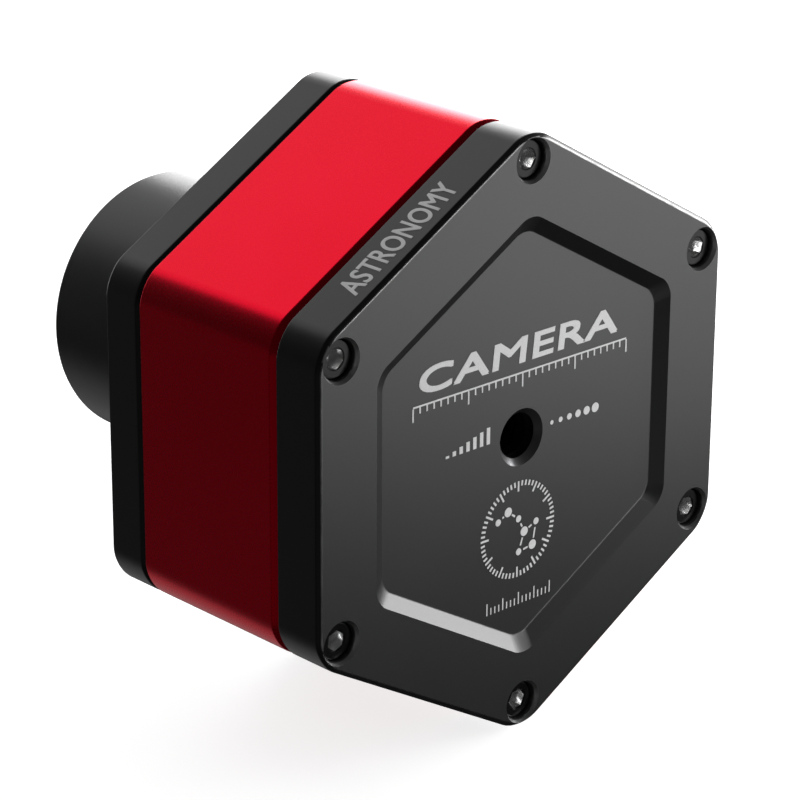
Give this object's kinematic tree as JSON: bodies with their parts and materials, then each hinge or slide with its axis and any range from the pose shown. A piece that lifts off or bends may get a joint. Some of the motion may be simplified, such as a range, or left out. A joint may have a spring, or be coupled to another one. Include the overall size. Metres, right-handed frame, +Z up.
{
  "type": "astronomy camera",
  "caption": "Small hexagonal astronomy camera: red anodised shell between black screwed covers, with a screw-in 1.25 inch nosepiece and two sockets in one flat.",
  "frame": {"origin": "middle of the nosepiece's shoulder, the plane that stops against a telescope's 1.25 inch drawtube", "axes": "+Y along the optical axis, out of the nosepiece; +Z up through one corner of the hexagon; +X out of the flat that holds the sockets; the rear face looks along -Y"},
  "size_m": [0.06, 0.0619, 0.0676],
  "materials": {
    "red_anodised": "satin bead-blasted red anodising",
    "black_anodised": "satin bead-blasted black anodising",
    "black_steel": "black oxide, bright inside the hexagon key",
    "bright_steel": "bright nickel plate",
    "black_rubber": "matt",
    "coated_glass": "polished, anti-reflection coated",
    "sensor_ceramic": "matt ceramic",
    "matt_black": "matt light-trap black",
    "board_green": "glass-fibre board with solder mask",
    "brass": "turned",
    "chip_black": "moulded epoxy",
    "thermal_pad_grey": "soft silicone pad",
    "black_plastic": "moulded",
    "blue_plastic": "moulded",
    "bare_aluminium": "milled"
  },
  "bodies": {
    "camera_body": {"rear_cover": "black_anodised", "shell": "red_anodised", "front_cover": "black_anodised", "window_glass": "coated_glass", "window_seal": "black_rubber", "window_ring": "black_anodised", "sensor_baffle": "matt_black", "sensor_glass": "coated_glass", "sensor_package": "sensor_ceramic", "sensor_board": "board_green", "main_board": "board_green", "sensor_pad": "thermal_pad_grey", "chip_pad": "thermal_pad_grey", "processor_chip": "chip_black", "memory_chip": "chip_black", "usb_chip": "chip_black", "board_connector": "black_plastic", "cooling_plate": "bare_aluminium", "usb_shell": "bright_steel", "usb_tongue": "blue_plastic", "guide_socket": "black_plastic", "rear_screw_1": "black_steel", "front_screw_1": "black_steel", "rear_screw_2": "black_steel", "front_screw_2": "black_steel", "rear_screw_3": "black_steel", "front_screw_3": "black_steel", "rear_screw_4": "black_steel", "front_screw_4": "black_steel", "rear_screw_5": "black_steel", "front_screw_5": "black_steel", "rear_screw_6": "black_steel", "front_screw_6": "black_steel", "board_standoff_1": "brass", "board_screw_1": "bright_steel", "board_standoff_2": "brass", "board_screw_2": "bright_steel", "board_standoff_3": "brass", "board_screw_3": "bright_steel", "board_standoff_4": "brass", "board_screw_4": "bright_steel"},
    "nose_thread": {"nose_seal": "black_rubber"},
    "nosepiece": {"nosepiece": "black_anodised"}
  },
  "joints": [
    {"name": "nose_advance", "type": "slide", "parent": "camera_body", "child": "nose_thread", "axis": [0, 1, 0], "range_m": [0, 0.0041]},
    {"name": "nose_turn", "type": "hinge", "parent": "nose_thread", "child": "nosepiece", "pos_m": [0, 0, 0], "axis": [0, 1, 0], "range_deg": [0, 1920]}
  ],
  "couplings": [
    {"joint": "nose_advance", "follows": "nose_turn", "m_per_rad": 0.00011937}
  ]
}
